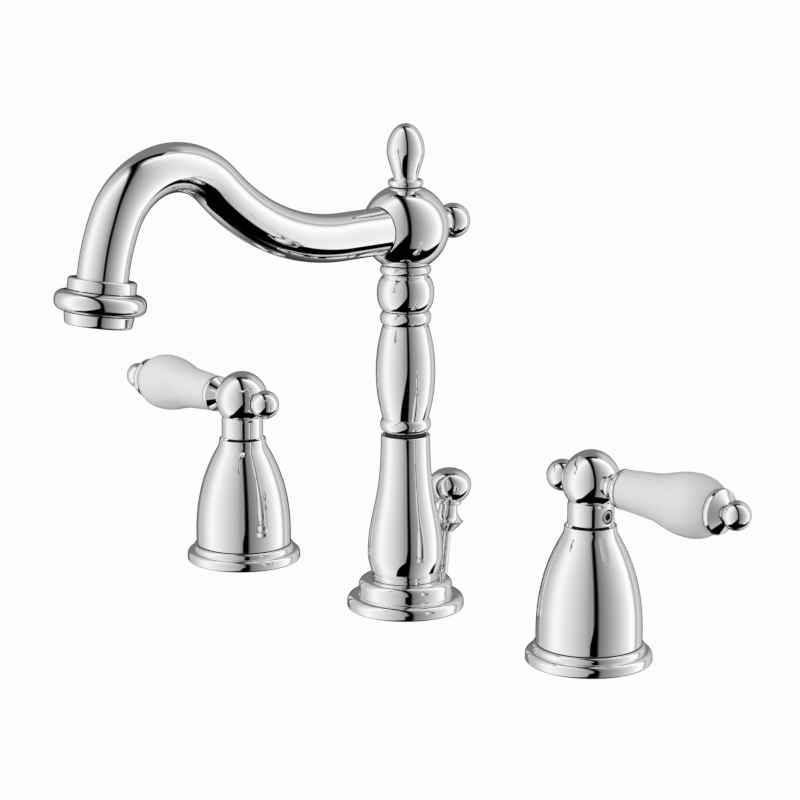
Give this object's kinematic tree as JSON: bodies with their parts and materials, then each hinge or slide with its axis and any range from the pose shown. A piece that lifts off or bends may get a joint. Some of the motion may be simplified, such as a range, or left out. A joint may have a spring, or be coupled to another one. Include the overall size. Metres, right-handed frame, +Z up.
{
  "type": "widespread bathroom faucet",
  "caption": "Widespread bathroom faucet with a swan-neck swivel spout on a turned column, porcelain-grip lever handles and a pop-up lift rod, in polished chrome.",
  "frame": {"origin": "where the axis of the spout's column meets the deck's upper face, at the level of the three gaskets' undersides", "axes": "+Z up along the column, +X along the row of stations towards the right-hand handle as the user sees it, -Y towards the user, the way the spout reaches"},
  "size_m": [0.3558, 0.2072, 0.2828],
  "materials": {
    "polished_chrome": "mirror-polished chrome plate",
    "rough_brass": "plain machined brass",
    "plated_steel": "plain plated steel",
    "porcelain": "glossy white glaze",
    "black_rubber": "matt moulded rubber",
    "white_nylon": "moulded off-white plastic"
  },
  "bodies": {
    "deck_fixed": {"spout_base_flange": "polished_chrome", "spout_base_gasket": "black_rubber", "spout_lower_body": "polished_chrome", "spout_shank": "rough_brass", "shank_rubber_washer": "black_rubber", "shank_steel_washer": "plated_steel", "shank_lock_nut": "rough_brass", "swivel_washer": "black_rubber", "left_base_flange": "polished_chrome", "left_base_gasket": "black_rubber", "left_bell": "polished_chrome", "left_valve_body": "rough_brass", "left_ceramic_cartridge": "white_nylon", "left_bonnet_nut": "rough_brass", "left_rubber_washer": "black_rubber", "left_steel_washer": "plated_steel", "left_lock_nut": "rough_brass", "right_base_flange": "polished_chrome", "right_base_gasket": "black_rubber", "right_bell": "polished_chrome", "right_valve_body": "rough_brass", "right_ceramic_cartridge": "white_nylon", "right_bonnet_nut": "rough_brass", "right_rubber_washer": "black_rubber", "right_steel_washer": "plated_steel", "right_lock_nut": "rough_brass"},
    "spout": {"swivel_spigot": "rough_brass", "swivel_o_ring": "black_rubber", "upper_column": "polished_chrome", "column_bulb": "polished_chrome", "spout_hub": "polished_chrome", "hub_finial": "polished_chrome", "rear_knob": "polished_chrome", "spout_tube": "polished_chrome", "spout_collar": "polished_chrome", "spout_bead": "polished_chrome", "aerator_housing": "polished_chrome", "aerator_washer": "black_rubber", "aerator_insert": "white_nylon"},
    "lift_rod": {"lift_rod": "polished_chrome", "lift_knob": "polished_chrome"},
    "left_handle": {"left_handle_hub": "polished_chrome", "left_set_screw": "plated_steel", "left_lever_ferrule": "polished_chrome", "left_porcelain_grip": "porcelain", "left_lever_end_cap": "polished_chrome", "left_rear_cap_nut": "polished_chrome", "left_lever_rod": "plated_steel", "left_valve_stem": "rough_brass"},
    "right_handle": {"right_handle_hub": "polished_chrome", "right_set_screw": "plated_steel", "right_lever_ferrule": "polished_chrome", "right_porcelain_grip": "porcelain", "right_lever_end_cap": "polished_chrome", "right_rear_cap_nut": "polished_chrome", "right_lever_rod": "plated_steel", "right_valve_stem": "rough_brass"}
  },
  "joints": [
    {"name": "left_handle_turn", "type": "hinge", "parent": "deck_fixed", "child": "left_handle", "pos_m": [-0.1016, 0, 0.0713], "axis": [0, 0, 1], "range_deg": [0, 90]},
    {"name": "right_handle_turn", "type": "hinge", "parent": "deck_fixed", "child": "right_handle", "pos_m": [0.1016, 0, 0.0713], "axis": [0, 0, 1], "range_deg": [-90, 0]},
    {"name": "spout_swivel", "type": "hinge", "parent": "deck_fixed", "child": "spout", "pos_m": [0, 0, 0.0735], "axis": [0, 0, 1], "range_deg": [-60, 60]},
    {"name": "lift_rod_slide", "type": "slide", "parent": "deck_fixed", "child": "lift_rod", "axis": [0, 0.1115, 0.9938], "range_m": [-0.008, 0.022]}
  ]
}
